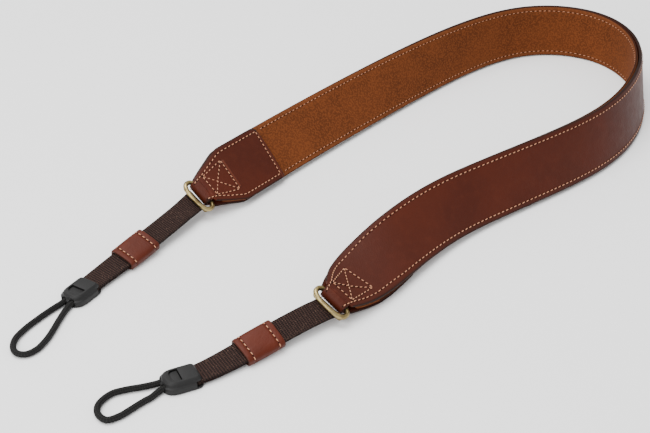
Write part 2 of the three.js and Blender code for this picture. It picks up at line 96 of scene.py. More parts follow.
ENDS = {
    "far": dict(
        side=-1, up=1, turn=2.5, ring_slide=-0.5, slide=-0.3, bow=1.5, sway=-3,
        mouth=(-164.7, 44.2, 2.3), heading=-168.5, leans=(17, 18, 1), keeper_at=0.585,
        loop=[
            (-179.7, 43.3, 2.1), (-183, 42.6, 1.8), (-188.6, 42.4, 1.55), (-196.4, 41.3, 1.55),
            (-204.4, 39.7, 1.55), (-211.4, 37.1, 1.55), (-215.8, 32.9, 1.55), (-216.9, 28.3, 1.55),
            (-214.4, 24.9, 1.55), (-209.4, 24.5, 1.55), (-204.6, 26.1, 1.55), (-200.1, 28.3, 1.55),
            (-195.6, 31, 1.55), (-190.4, 34.3, 1.55), (-183, 38.3, 1.8), (-178.9, 39.2, 2.1),
        ],
        cord_length=0.087, box=(1.2, 14.6), box_halves=(8.6, 5.7),
    ),
    "near": dict(
        side=1, up=-1, turn=0, ring_slide=0, slide=0, bow=2.1, sway=0,
        mouth=(-174.1, -38.2, 2.3), heading=158, leans=(151, 156, 180), keeper_at=0.53,
        loop=[
            (-187.1, -30.7, 2.1), (-190.1, -29.4, 1.8), (-195, -26.5, 1.55), (-201, -22.8, 1.55),
            (-206.4, -20.6, 1.55), (-212.7, -21.4, 1.55), (-216.5, -24.3, 1.55), (-217.9, -28.2, 1.55),
            (-217, -31.8, 1.55), (-212.3, -33.4, 1.55), (-207.8, -33.6, 1.55), (-203.3, -33.6, 1.55),
            (-199.8, -33.7, 1.55), (-196.4, -34, 1.55), (-191.8, -33.6, 1.8), (-188.7, -34.6, 2.1),
        ],
        cord_length=0.07, box=(-0.8, 14.6), box_halves=(7.9, 5.7),
    ),
}


def mix(a, b, share):
    return a + (b - a) * share


def ease(x, low, high):
    t = min(max((x - low) / (high - low), 0), 1)
    return t * t * (3 - 2 * t)


# Material tools


class Wire:
    """A shader socket that sums can be written with."""

    def __init__(self, finish, socket):
        self.finish, self.socket = finish, socket

    def sum(self, operation, *values):
        return self.finish.node("ShaderNodeMath", dict(operation=operation), *values)

    def __add__(self, other):
        return self.sum("ADD", self, other)

    def __sub__(self, other):
        return self.sum("SUBTRACT", self, other)

    def __rsub__(self, other):
        return self.sum("SUBTRACT", other, self)

    def __mul__(self, other):
        return self.sum("MULTIPLY", self, other)

    def __abs__(self):
        return self.sum("ABSOLUTE", self)

    __radd__, __rmul__ = __add__, __mul__

    def sine(self):
        return self.sum("SINE", self)

    def step(self, low, high):
        """0 below low, 1 above high, smooth between."""
        settings = dict(interpolation_type="SMOOTHSTEP")
        return self.finish.node("ShaderNodeMapRange", settings, self, low, high)


class Finish:
    """A material in the making."""

    def __init__(self, title, **uniform):
        self.material = bpy.data.materials.new(title)
        self.material.use_nodes = True
        self.tree = self.material.node_tree
        self.shader = self.tree.nodes["Principled BSDF"]
        for key, value in uniform.items():
            name = key.replace("_", " ").title().replace("Ior", "IOR")
            self.shader.inputs[name].default_value = value

    def node(self, kind, settings, *values, out=0, **named):
        made = self.tree.nodes.new(kind)
        for key, value in settings.items():
            setattr(made, key, value)
        for key, value in [*enumerate(values), *named.items()]:
            socket = made.inputs[key]
            if isinstance(value, Wire):
                self.tree.links.new(value.socket, socket)
            elif value is not None:
                socket.default_value = value
        return Wire(self, made.outputs[out])

    def place(self, source="Object"):
        return self.node("ShaderNodeTexCoord", {}, out=source)

    def stretched(self, vector, scale):
        return self.node("ShaderNodeMapping", {}, vector, None, None, scale)

    def noise(self, vector, size, detail=2.0):
        """Noise from 0 to 1 with lumps of about that size."""
        return self.node("ShaderNodeTexNoise", {}, Vector=vector, Scale=1 / size, Detail=detail)

    def cells(self, vector, size):
        return self.node("ShaderNodeTexVoronoi", dict(feature="F1"), Vector=vector, Scale=1 / size)

    def tint(self, share, a, b):
        """Colour a where share is 0, b where it is 1."""
        settings = dict(data_type="RGBA")
        return self.node("ShaderNodeMix", settings, share, *[None] * 5, a, b, out=2)

    def measure(self, name):
        """One of the piece's own attributes."""
        return self.node("ShaderNodeAttribute", dict(attribute_name=name), out="Fac")

    def along_and_round(self):
        """The piece's own map in millimetres: along it, and round it."""
        split = self.node("ShaderNodeSeparateXYZ", {}, self.place("UV"))
        return split, Wire(self, split.socket.node.outputs[1])

    def apply(self, colour=None, roughness=None, height=None, depth=0.0001, metal=None):
        for name, wire in (("Base Color", colour), ("Roughness", roughness), ("Metallic", metal)):
            if wire is not None:
                self.tree.links.new(wire.socket, self.shader.inputs[name])
        if height is not None:
            bump = self.node("ShaderNodeBump", {}, Strength=1.0, Distance=depth, Height=height)
            self.tree.links.new(bump.socket, self.shader.inputs["Normal"])
        return self.material


def rgb(*channels):
    """A colour from screen values, 0 to 255."""
    return (*[((c / 255 + 0.055) / 1.055) ** 2.4 for c in channels], 1)

# Places on the strap


def run_at(s):
    """Heading and lean, in radians, on the same cubic curve that the solids follow."""
    s = min(max(s, BAND_RUN[0][0]), BAND_RUN[-1][0])
    i = next(i for i in range(1, len(BAND_RUN)) if s <= BAND_RUN[i][0])
    before, here, there = BAND_RUN[max(i - 2, 0)], BAND_RUN[i - 1], BAND_RUN[i]
    after = BAND_RUN[min(i + 1, len(BAND_RUN) - 1)]
    if i == 1:
        before = there
    if i == len(BAND_RUN) - 1:
        after = here
    half = (there[0] - here[0]) / 2
    w0, w1 = half / (here[0] - before[0]), half / (after[0] - there[0])
    p = (s - here[0]) / (there[0] - here[0])
    shares = (
        -w0 * p**3 + 2 * w0 * p**2 - w0 * p,
        (1 + w0) * p**3 - (1.5 + 2 * w0) * p**2 + (w0 - 0.5) * p + 1,
        -(1 + w1) * p**3 + (1.5 + w1) * p**2 + 0.5 * p,
        w1 * p**3 - w1 * p**2,
    )
    rows = (before, here, there, after)
    return [math.radians(sum(k * row[n] for k, row in zip(shares, rows))) for n in (1, 2)]


def walk_footings():
    found = {0: FAR_CORNER}
    for way, last in ((-1, 40), (1, BAND_LENGTH + 40)):
        for i in range(1, last + 1):
            heading = run_at(way * (i - 0.5))[0]
            stride = Vector((math.cos(heading), math.sin(heading))) * way
            found[way * i] = found[way * (i - 1)] + stride
    return found


FOOTINGS = walk_footings()


class Axes:
    """A place with three directions, in millimetres."""

    def __init__(self, centre, along, across, normal):
        self.centre, self.along, self.across, self.normal = centre, along, across, normal

    def at(self, along, across, rise):
        return self.centre + self.along * along + self.across * across + self.normal * rise


def band_axes(s):
    heading, lean = run_at(s)
    along = Vector((math.cos(heading), math.sin(heading), 0))
    left = Vector((-along.y, along.x, 0))
    across = left * math.cos(lean) + UP * math.sin(lean)
    normal = along.cross(across)
    below = math.floor(s)
    foot = FOOTINGS[below].lerp(FOOTINGS[below + 1], s - below)
    flap = (GAP + FLAP) * ease(s, BAND_LENGTH - FLAP_LIFT, BAND_LENGTH - FLAP_REACH)
    lift = max(HALF_BAND * normal.z, -(HALF_BAND + flap) * normal.z)
    centre = Vector((foot.x, foot.y, lift)) + across * (BAND_WIDTH / 2)
    return Axes(centre, along, across, normal)


def half_width(s):
    """Of the band's outline. Each end's corners have their own rounding."""
    corner = FAR_ROUND if s < BAND_LENGTH / 2 else NEAR_ROUND
    out = max(-s, s - BAND_LENGTH)
    slope = (BAND_WIDTH / 2 - SHOULDER) / CHAMFER
    if out <= -corner:
        return BAND_WIDTH / 2
    if out < corner:
        return BAND_WIDTH / 2 - slope * (out + corner) ** 2 / (4 * corner)
    return BAND_WIDTH / 2 - slope * out if out <= CHAMFER else NECK


def ring_axes(end):
    s = -RING_FOLD if end["side"] < 0 else BAND_LENGTH + RING_FOLD
    band = band_axes(s)
    up = band.normal * end["up"]
    turn = Quaternion(up, math.radians(end["turn"]))
    outward = band.along * end["side"]
    outward.rotate(turn)
    across = band.across.copy()
    across.rotate(turn)
    centre = band.at(-end["side"] * RING_BACK, end["ring_slide"], FOLD_HEIGHT)
    return Axes(centre, outward, across, up)


RUN_STEPS = 200


class WebbingRun:
    """Centre-line of a webbing, from the ring's thin bar to the connector."""

    def __init__(self, end):
        self.end, self.ring = end, ring_axes(end)
        heading = math.radians(end["heading"])
        axis = Vector((math.cos(heading), math.sin(heading), 0))
        start = self.ring.at(BAR_OUT, end["slide"], -BAR_DROP)
        finish = Vector(end["mouth"]) + axis * (SLOT_DEPTH - PLAY)
        reach = (finish - start).length / 3
        first = start + (finish - start).normalized() * reach + Vector((0, end["sway"], end["bow"]))
        self.bends = (start, first, finish - axis * reach * LANDING, finish)
        fine = [self.point(i / RUN_STEPS) for i in range(RUN_STEPS + 1)]
        self.travel = [0]
        for a, b in zip(fine, fine[1:]):
            self.travel.append(self.travel[-1] + (b - a).length)
        self.length = self.travel[-1]

    def point(self, t):
        a, b, c, d = self.bends
        return a * (1 - t) ** 3 + b * 3 * t * (1 - t) ** 2 + c * 3 * t * t * (1 - t) + d * t**3

    def slope(self, t):
        a, b, c, d = self.bends
        return ((b - a) * (1 - t) ** 2 + (c - b) * 2 * t * (1 - t) + (d - c) * t * t).normalized()

    @functools.lru_cache(maxsize=None)
    def axes(self, distance):
        """Axes at a distance from the ring's bar. Their along points away from the bar."""
        distance = min(max(distance, 0), self.length)
        i = max(next((i for i, d in enumerate(self.travel) if d >= distance), RUN_STEPS), 1)
        t = (i - 1 + (distance - self.travel[i - 1]) / (self.travel[i] - self.travel[i - 1])) / RUN_STEPS
        onward, share = self.slope(t), distance / self.length
        along = onward * self.end["side"]
        at_ring, at_keeper, at_connector = self.end["leans"]
        keeper = self.end["keeper_at"]
        if share < keeper:
            lean = mix(at_ring, at_keeper, share / keeper)
        else:
            lean = mix(at_keeper, at_connector, (share - keeper) / (1 - keeper))
        lean = math.radians(lean)
        across = UP.cross(along).normalized() * math.cos(lean) + UP * math.sin(lean)
        across = (across - along * across.dot(along)).normalized()
        across = across.lerp(self.ring.across, 1 - ease(share, 0, SKEW_SHARE)).normalized()
        return Axes(self.point(t), onward, across, along.cross(across).normalized())


# Making pieces


def finish_piece(name, bm, finishes, replaces=()):
    mesh = bpy.data.meshes.new(name)
    bm.to_mesh(mesh)
    bm.free()
    mesh.polygons.foreach_set("use_smooth", [True] * len(mesh.polygons))
    piece = bpy.data.objects.new(name, mesh)
    bpy.context.scene.collection.objects.link(piece)
    for finish in finishes:
        mesh.materials.append(finish)
    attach(piece, "root")
    if replaces:
        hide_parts(*replaces)
    return piece


def skin(bm, columns, rows, place, size, ring=False):
    """Adds a tube, capped unless it is a ring. place(u, v) is its surface in millimetres.

    u runs along it and v round it, from 0 to 1. size is its map's length and girth in millimetres.
    """
    uv = bm.loops.layers.uv.verify()
    made = bmesh.ops.create_grid(bm, x_segments=columns, y_segments=rows, size=0.5)["verts"]
    faces = {face for vert in made for face in vert.link_faces}
    for face in faces:
        for loop in face.loops:
            loop[uv].uv = [(k + 0.5) * m for k, m in zip(loop.vert.co.xy, size)]
    for vert in made:
        vert.co = place(vert.co.x + 0.5, vert.co.y + 0.5) * MM
    bmesh.ops.remove_doubles(bm, verts=made, dist=1e-7)
    faces = [face for face in faces if face.is_valid]
    if not ring:
        rims = {edge for face in faces for edge in face.edges if edge.is_boundary}
        faces += bmesh.ops.holes_fill(bm, edges=list(rims))["faces"]
    bmesh.ops.recalc_face_normals(bm, faces=faces)


def strip_outline(half, thick, edge, flats=10, turns=4):
    """Points round a flat strip with rounded edges, as offsets across and out of its face."""
    h = thick / 2
    points = [(mix(-half + edge, half - edge, i / flats), -h) for i in range(flats + 1)]
    for side in (1, -1):
        for i in range(1, 2 * turns):
            turn = math.radians(-90 + 90 * i / turns) if side > 0 else math.radians(90 + 90 * i / turns)
            rise = (h - edge) * (1 if i > turns else -1 if i < turns else 0) * side
            points.append((side * (half - edge) + edge * math.cos(turn), rise + edge * math.sin(turn)))
        if side > 0:
            points += [(mix(half - edge, -half + edge, i / flats), h) for i in range(flats + 1)]
    return points


def copy_of(node):
    """A node's mesh with its loose triangles joined into faces."""
    bm = bmesh.new()
    bm.from_mesh(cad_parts[node].data)
    bmesh.ops.remove_doubles(bm, verts=bm.verts, dist=2e-6)
    return bm


def squared(x, power):
    return math.copysign(abs(x) ** power, x)


# Stitches, sewn along rows of points given on the strap


# The holes are dark flat beads: painted shade of each stitch hole.
HOLE_SIZE = (0.5, 0.28, 0.05)
HOLE_RISE = 0.02
THREAD_RISE = 0.16  # share of the thread's thickness that its middle stands over the leather
STRAY = 4  # degrees


class Seam:
    """Stitches and the painted shade of their holes, gathered for one piece each."""

    def __init__(self):
        self.thread, self.holes = bmesh.new(), bmesh.new()
        self.chance = random.Random(7)
        bead = bmesh.new()
        bmesh.ops.create_uvsphere(bead, u_segments=8, v_segments=4, radius=1)
        self.bead = bpy.data.meshes.new("bead")
        bead.to_mesh(self.bead)
        bead.free()

    def sew(self, route, pitch=2.8, long=1.9, thick=0.48, slant=7):
        """route is a list of (point, normal) in millimetres. It is sewn at an even pitch."""
        steps = [(b[0] - a[0]).length for a, b in zip(route, route[1:])]
        total = sum(steps)
        count = max(round(total / pitch), 1)
        for k in range(count):
            for share, bm, size in (
                (0.5, self.thread, (long / 2, thick / 2, thick * 0.42)),
                (1.0, self.holes, HOLE_SIZE),
            ):
                distance = min((k + share) * total / count, total - 1e-6)
                i = 0
                while distance > steps[i]:
                    distance -= steps[i]
                    i += 1
                point = route[i][0].lerp(route[i + 1][0], distance / steps[i])
                normal = route[i][1].lerp(route[i + 1][1], distance / steps[i]).normalized()
                forward = (route[i + 1][0] - route[i][0]).normalized()
                side = normal.cross(forward).normalized()
                forward = side.cross(normal)
                turn = math.radians(slant + self.chance.uniform(-STRAY, STRAY)) if bm is self.thread else 0
                forward, side = (
                    forward * math.cos(turn) + side * math.sin(turn),
                    side * math.cos(turn) - forward * math.sin(turn),
                )
                rise = thick * THREAD_RISE if bm is self.thread else HOLE_RISE
                place = Matrix((forward, side, normal)).transposed().to_4x4()
                place.translation = point + normal * rise
                place = Matrix.Scale(MM, 4) @ place @ Matrix.Diagonal((*size, 1))
                one = self.bead.copy()
                one.transform(place)
                bm.from_mesh(one)
                bpy.data.meshes.remove(one)

    def pieces(self, name):
        bpy.data.meshes.remove(self.bead)
        finish_piece(f"{name}_thread", self.thread, [THREAD])
        finish_piece(f"{name}_holes", self.holes, [HOLE_SHADE])


def layer_face(out, layer):
    """Height of the leather's face over the band's middle: layer -1 outside, 1 on the flap."""
    blend = ease(out, FOLD_START, CHAMFER)
    flat = HALF_BAND + GAP + FLAP / 2 if layer > 0 else -HALF_BAND + LEATHER / 2
    thick = mix(FLAP if layer > 0 else LEATHER, FOLD_LEATHER, blend)
    return mix(flat, FOLD_HEIGHT + layer * FOLD_RADIUS, blend) + layer * thick / 2


def on_band(s, across, face):
    """Point and outward normal on a face: "outside", "suede", or "flap", and on over the nose."""
    axes = band_axes(s)
    out = max(-s, s - BAND_LENGTH)
    layer = 1 if face == "flap" else -1
    if out > RING_FOLD:
        axes = band_axes(-RING_FOLD if s < 0 else BAND_LENGTH + RING_FOLD)
        radius = FOLD_RADIUS + FOLD_LEATHER / 2
        turn = (out - RING_FOLD) / radius
        outward = axes.along * (-1 if s < 0 else 1)
        normal = axes.normal * (layer * math.cos(turn)) + outward * math.sin(turn)
        return axes.at(0, across, FOLD_HEIGHT) + normal * radius, normal
    rise = HALF_BAND if face == "suede" else layer_face(out, layer)
    return axes.at(0, across, rise), axes.normal * (-1 if face == "outside" else 1)


def edge_row(first, last, side, face, end=None):
    """A route that keeps its distance from the band's edge, between two distances along or outward."""
    corners = []
    for i in range(EDGE_STEPS + 1):
        s = place = mix(first, last, i / EDGE_STEPS)
        if end:
            s = -place if end["side"] < 0 else BAND_LENGTH + place
        corners.append((place, side * (half_width(s) - INSET)))
    return route_on_band(corners, face, end)


def route_on_band(corners, face, end=None):
    """A fine route through corners given as (along, across), or as (outward, across) at an end."""
    found = []
    for a, b in zip(corners, corners[1:]):
        count = max(math.ceil(math.dist(a, b) / ROUTE_STEP), 1)
        for i in range(count + 1):
            s, across = (mix(a[k], b[k], i / count) for k in (0, 1))
            if end:
                s = -s if end["side"] < 0 else BAND_LENGTH + s
            found.append(on_band(s, across, face))
    return [p for i, p in enumerate(found) if not i or (p[0] - found[i - 1][0]).length > 1e-4]


INSET = 2.6  # of the edge rows
PATCH_BACK = 26
LINING_ROW = 1.5  # the lining's rows start this far past the patch
NOSE_INSET = 0.9  # the nose's rows lie this much nearer the edge than the band's
EDGE_STEPS = 30
ROUTE_STEP = 2
RIDGE_BACK = 0.1  # the patch's ridge lies this far back from the chamfer corners
TAPER_OUT, NOSE_OUT, NOSE_HALF = 15, 20.5, 4.9


def sew_band():
    seam = Seam()
    start = FLAP_REACH + LINING_ROW
    for side in (-1, 1):
        seam.sew(edge_row(0, BAND_LENGTH, side, "outside"))
        seam.sew(edge_row(start, BAND_LENGTH - start, side, "suede"), long=1.5, thick=0.36)
    seam.pieces("band_stitches")


def sew_ends():
    """A row along the tapering edges and over the nose, and a cross in a box next to the ring."""
    seam = Seam()
    fine = dict(pitch=2.2, long=1.5)
    for end in ENDS.values():
        box, halves = end["box"], end["box_halves"]
        for face in ("flap", "outside"):
            for side in (-1, 1):
                back = -PATCH_BACK if face == "flap" else 0
                seam.sew(edge_row(back, TAPER_OUT, side, face, end), pitch=2.5, long=1.7)
                nose = [(TAPER_OUT, side * (SHOULDER - INSET + NOSE_INSET)), (NOSE_OUT, side * NOSE_HALF)]
                seam.sew(route_on_band(nose, face, end), **fine)
                for target in (-side, side):
                    row = [(box[0], side * halves[0]), (box[1], target * halves[1])]
                    seam.sew(route_on_band(row, face, end), **fine)
            for out, half in zip(box, halves):
                seam.sew(route_on_band([(out, -half), (out, half)], face, end), **fine)
        edge = BAND_WIDTH / 2 - INSET
        seam.sew(route_on_band([(-PATCH_BACK, -edge), (-PATCH_BACK, edge)], "flap", end), **fine)
    seam.pieces("end_stitches")


# Finishes


def leather_colours(finish, place):
    """Reddish brown, clouded, with lighter greyish flecks that are partly the leather's own mottle and partly
    painted sheen.
    """
    cloud = finish.noise(place, 0.03, 3)
    fleck = finish.noise(place, 0.0035, 4)
    base = finish.tint(cloud.step(0.35, 0.68), rgb(56, 19, 8), rgb(77, 28, 12))
    # The flecks' lighter greyish colour is partly painted sheen.
    return finish.tint(fleck.step(0.45, 0.8) * 0.4, base, rgb(88, 40, 24))


def leather_grain(finish, place):
    pores = finish.cells(place, 0.0007)
    creases = finish.noise(place, 0.0022, 4)
    return pores * 0.5 + creases * 0.8


def leather_finish():
    finish = Finish("waxed_leather", specular_ior_level=0.14)
    place = finish.place()
    inset = finish.measure("inset")
    rise = finish.measure("rise")
    colour = leather_colours(finish, place)
    worn = finish.noise(place, 0.008, 3)
    rim = (1 - inset.step(0.2, 1.6)) * (0.5 + worn * 0.4)
    colour = finish.tint(rim, colour, rgb(62, 22, 9))
    cut = 1 - inset.step(0.02, 0.3)
    colour = finish.tint(cut, colour, finish.tint(worn, rgb(20, 10, 7), rgb(40, 20, 13)))
    groove = 1 - abs(inset - INSET).step(0.2, 1.1)
    outward = finish.measure("outward")
    on_flap = rise.step(HALF_BAND, HALF_BAND + FLAP)
    # Painted highlight: a lighter colour along the patch's ridge and along its raised brink by the suede,
    # where light catches the raised edges; the ridge also gets a bump below.
    ridge = (1 - abs(outward + RIDGE_BACK).step(0.15, 0.9)) * (1 - abs(finish.measure("across")).step(11, 12))
    brink = 1 - abs(outward + FLAP_REACH - 0.6).step(0.1, 0.8)
    colour = finish.tint((ridge + brink) * on_flap * 0.25, colour, rgb(124, 66, 44))
    height = leather_grain(finish, place) * (1 - cut * 0.5) - groove * 2.2 + ridge * on_flap * 3
    shine = finish.noise(place, 0.004, 3) * 0.16 + 0.42 + cut * 0.2
    return finish.apply(colour, shine, height, 0.00012)


def suede_finish():
    finish = Finish("suede", specular_ior_level=0.1, sheen_weight=0.06, sheen_roughness=0.5)
    finish.shader.inputs["Sheen Tint"].default_value = rgb(190, 120, 80)
    place = finish.place()
    inset = finish.measure("inset")
    brushed = finish.noise(place, 0.02, 4)
    nap = finish.noise(place, 0.0009, 5)
    colour = finish.tint(brushed.step(0.3, 0.7), rgb(62, 28, 9), rgb(80, 39, 15))
    colour = finish.tint(nap.step(0.42, 0.6) * 0.65, colour, rgb(108, 56, 25))
    # Painted highlight: a lighter band on the lining's rounded rim, where it catches the light.
    colour = finish.tint((1 - inset.step(0.1, 1.1)) * 0.45, colour, rgb(116, 68, 40))
    colour = finish.tint(1 - inset.step(0.1, 0.35), colour, rgb(44, 20, 10))
    groove = 1 - abs(inset - INSET).step(0.2, 1.2)
    return finish.apply(colour, nap * 0.1 + 0.88, nap * 0.8 + brushed * 0.5 - groove * 2.0, 0.00016)


def keeper_finish():
    finish = Finish("keeper_leather", specular_ior_level=0.16)
    place = finish.place()
    along, _ = finish.along_and_round()
    colour = finish.tint(0.4, leather_colours(finish, place), rgb(78, 27, 11))
    lip = abs(along - KEEPER_LENGTH / 2).step(KEEPER_LENGTH / 2 - 0.5, KEEPER_LENGTH / 2 + 0.1)
    colour = finish.tint(lip * 0.75, colour, rgb(52, 30, 23))
    groove = 1 - abs(abs(along - KEEPER_LENGTH / 2) - (KEEPER_LENGTH / 2 - KEEPER_SEAM)).step(0.2, 1.0)
    height = leather_grain(finish, place) - groove * 2.0
    return finish.apply(colour, finish.noise(place, 0.004) * 0.16 + 0.42, height, 0.00012)


def thread_finish():
    finish = Finish("thread", specular_ior_level=0.3)
    fibre = finish.noise(finish.place(), 0.0003, 2)
    return finish.apply(finish.tint(fibre, rgb(150, 96, 70), rgb(200, 148, 114)), None, fibre, 0.00005)


# Painted shade: the stitch holes are dark flat beads on the leather, standing in for the shade inside each
# hole.
def hole_shade_finish():
    finish = Finish("stitch_hole_shade", roughness=0.9, specular_ior_level=0.1)
    dark = finish.noise(finish.place(), 0.0005)
    return finish.apply(finish.tint(dark, rgb(26, 11, 7), rgb(48, 22, 13)))


def brass_finish():
    finish = Finish("pale_brass", metallic=1.0)
    place = finish.place()
    tarnish = finish.noise(place, 0.004, 4)
    scuffs = finish.noise(finish.stretched(place, (1, 1, 4)), 0.0006, 2)
    colour = finish.tint(tarnish.step(0.35, 0.75), rgb(164, 146, 100), rgb(96, 80, 50))
    return finish.apply(colour, scuffs * 0.12 + tarnish * 0.12 + 0.24, scuffs, 0.00002)


RIB = 1.2


def webbing_finish():
    finish = Finish("webbing", specular_ior_level=0.15)
    along, across = finish.along_and_round()
    stray = finish.noise(finish.place(), 0.0012, 3) * 2.6
    rib = (along * (2 * math.pi / RIB) + stray).sine()
    picks = (across * (2 * math.pi / 0.55) + stray + (along * (math.pi / RIB)).sine() * 1.2).sine()
    fuzz = finish.noise(finish.place(), 0.00035, 3)
    colour = finish.tint((rib * 0.3 + picks * 0.25 + fuzz).step(0.2, 1.0), rgb(13, 8, 7), rgb(60, 41, 35))
    fleck = finish.cells(finish.place(), 0.0011).step(0.0, 0.26)
    colour = finish.tint((1 - fleck) * 0.7, colour, rgb(116, 92, 78))
    return finish.apply(colour, fuzz * 0.1 + 0.8, rib * 0.5 + picks * 0.45 + fuzz * 0.5, 0.00012)


def plastic_finish():
    finish = Finish("connector_plastic", specular_ior_level=0.25)
    place = finish.place()
    grit = finish.noise(place, 0.00025, 2)
    cloud = finish.noise(place, 0.006, 3)
    colour = finish.tint(cloud, rgb(18, 18, 18), rgb(26, 25, 25))
    return finish.apply(colour, grit * 0.12 + cloud * 0.1 + 0.42, grit, 0.00004)


def cord_finish():
    finish = Finish("braided_cord", specular_ior_level=0.2)
    along, round_it = finish.along_and_round()
    turn = round_it * (2 * STRANDS / CORD)
    lead = along * (2 * math.pi / BRAID_PITCH)
    braid = (turn + lead).sine() * (turn - lead).sine()
    fuzz = finish.noise(finish.place(), 0.0003, 3)
    colour = finish.tint((braid * 0.35 + fuzz).step(0.2, 0.9), rgb(5, 5, 5), rgb(28, 27, 26))
    return finish.apply(colour, fuzz * 0.1 + 0.72, braid * 0.8 + fuzz * 0.3, 0.00014)


def floor_finish():
    finish = Finish("pale_floor", roughness=0.7, specular_ior_level=0.2)
    shade = finish.noise(finish.place(), 0.6, 2)
    return finish.apply(finish.tint(shade, rgb(246, 246, 246), rgb(250, 250, 250)))


THREAD, HOLE_SHADE, CORD_BRAID = thread_finish(), hole_shade_finish(), cord_finish()
BRASS, WEAVE, KEEPER, PLASTIC = brass_finish(), webbing_finish(), keeper_finish(), plastic_finish()

# Cord loops

CORD_ROUND = 24
CORD_THINNED, BRAID_HEIGHT = 0.04, 0.05  # the braid's hollows and bulges about the cord's size


def cord_points(loop, count=240):
    """Points at an even spacing on a smooth curve through the route."""
    points = [Vector(p) for p in loop]
    points = [points[0] * 2 - points[1], *points, points[-1] * 2 - points[-2]]
    fine = []
    for a, b, c, d in zip(points, points[1:], points[2:], points[3:]):
        for k in range(20):
            t = k / 20
            fine.append((b * 2 + (c - a) * t + (a * 2 - b * 5 + c * 4 - d) * t**2
                         + (b * 3 - a - c * 3 + d) * t**3) / 2)
    fine.append(points[-2])
    travel = [0]
    for a, b in zip(fine, fine[1:]):
        travel.append(travel[-1] + (b - a).length)
    found, i = [], 0
    for k in range(count + 1):
        goal = travel[-1] * k / count
        while i < len(travel) - 2 and travel[i + 1] < goal:
            i += 1
        share = (goal - travel[i]) / (travel[i + 1] - travel[i])
        found.append(fine[i].lerp(fine[i + 1], min(share, 1)))
    return found, travel[-1]


def make_cord(name, end):
    points, length = cord_points(end["loop"])
    last = len(points) - 1

    def place(u, v):
        i = round(u * last)
        forward = (points[min(i + 1, last)] - points[max(i - 1, 0)]).normalized()
        side = forward.cross(UP).normalized()
        over = side.cross(forward)
        turn = 2 * math.pi * v
        lead = 2 * math.pi * u * length / BRAID_PITCH
        braid = math.sin(STRANDS * turn + lead) * math.sin(STRANDS * turn - lead)
        radius = CORD / 2 - CORD_THINNED + BRAID_HEIGHT * braid
        return points[i] + (side * math.cos(turn) + over * math.sin(turn)) * radius

    bm = bmesh.new()
    skin(bm, last, CORD_ROUND, place, (length, math.pi * CORD))
    cord = finish_piece(f"braided_cord_{name}", bm, [CORD_BRAID], [f"cord_loop_{name}"])
    points[0] * MM
    [p * MM for p in points[::6]]


for end_name, end_facts in ENDS.items():
    make_cord(end_name, end_facts)

# Band: the outer leather with its folded ends, and the suede lining

END_REACH, NEARBY = 24, 22


def measure_band(bm):
    """Gives each vertex its place on the band, as distances in millimetres."""
    stations = [(s, band_axes(s)) for s in range(-END_REACH, BAND_LENGTH + END_REACH)]
    inset = bm.verts.layers.float.new("inset")
    rise = bm.verts.layers.float.new("rise")
    outward = bm.verts.layers.float.new("outward")
    across = bm.verts.layers.float.new("across")
    for vert in bm.verts:
        point = vert.co / MM
        near = (row for row in stations if (point - row[1].centre).length < NEARBY)
        s, axes = min(near, key=lambda row: abs((point - row[1].centre).dot(row[1].along)))
        offset = point - axes.centre
        vert[across] = offset.dot(axes.across)
        vert[outward] = max(-s, s - BAND_LENGTH)
        vert[inset] = half_width(s) - abs(vert[across])
        vert[rise] = offset.dot(axes.normal)


def make_layer(name, node, finish):
    bm = copy_of(node)
    bmesh.ops.join_triangles(
        bm, faces=bm.faces, angle_face_threshold=math.radians(25), angle_shape_threshold=math.pi
    )
    measure_band(bm)
    piece = finish_piece(name, bm, [finish], [node])
    smoother = piece.modifiers.new("smoother", "SUBSURF")
    smoother.levels = smoother.render_levels = 2
    return piece


make_layer("outer_leather", "strap_leather", leather_finish())
make_layer("suede_layer", "suede_lining", suede_finish())
sew_band()
sew_ends()

# Rings

RING_STEPS, RING_ROUND = 96, 20
BAR_ROUND, BAR_CORNER_STEPS = 12, 6


def make_ring(name, end):
    axes = ring_axes(end)
    bm = bmesh.new()

    def oval(turn):
        return axes.at(
            RING_HALF_WIDTH * (1 + squared(math.sin(turn), RING_SQUARENESS)),
            RING_HALF_LENGTH * squared(math.cos(turn), RING_SQUARENESS), 0,
        )

    def ring_place(u, v):
        turn = 2 * math.pi * (u + 1 / (2 * RING_STEPS))
        run = (oval(turn + 0.02) - oval(turn - 0.02)).normalized()
        side, round_it = run.cross(axes.normal), 2 * math.pi * v
        return oval(turn) + (side * math.cos(round_it) + axes.normal * math.sin(round_it)) * WIRE

    skin(bm, RING_STEPS, RING_ROUND, ring_place, (40, 7), ring=True)
    bends = [(-BAR_HALF_LENGTH, 0)]
    for side in (-1, 1):
        middle = Vector((side * (BAR_HALF_LENGTH - BAR_CORNER), BAR_CORNER - BAR_DROP))
        for k in range(BAR_CORNER_STEPS + 1):
            turn = math.radians(90 / BAR_CORNER_STEPS * (k if side < 0 else BAR_CORNER_STEPS - k))
            bends.append(middle + Vector((side * math.cos(turn), -math.sin(turn))) * BAR_CORNER)
    bends = [Vector(p) for p in [*bends, (BAR_HALF_LENGTH, 0)]]

    def bar_place(u, v):
        i = round(u * (len(bends) - 1))
        run = (bends[min(i + 1, len(bends) - 1)] - bends[max(i - 1, 0)]).normalized()
        side, round_it = Vector((-run.y, run.x)) * BAR_WIRE, 2 * math.pi * v
        flat = bends[i] + side * math.cos(round_it)
        return axes.at(BAR_OUT + BAR_WIRE * math.sin(round_it), flat.x, flat.y)

    skin(bm, len(bends) - 1, BAR_ROUND, bar_place, (22, 4))
    finish_piece(f"brass_ring_{name}", bm, [BRASS], [f"ring_{name}"])


# Webbing and keepers

WEAVE_STEP, RIB_HEIGHT, RIBBED_TO, WEBBING_EDGE = 0.3, 0.045, 0.2, 0.36
KEEPER_STEPS, LIP_STEPS, KEEPER_ROUND = 30, 8, 64
PINCH, PINCH_WIDTH = 0.12, 0.8  # how far the keeper's seams draw it in


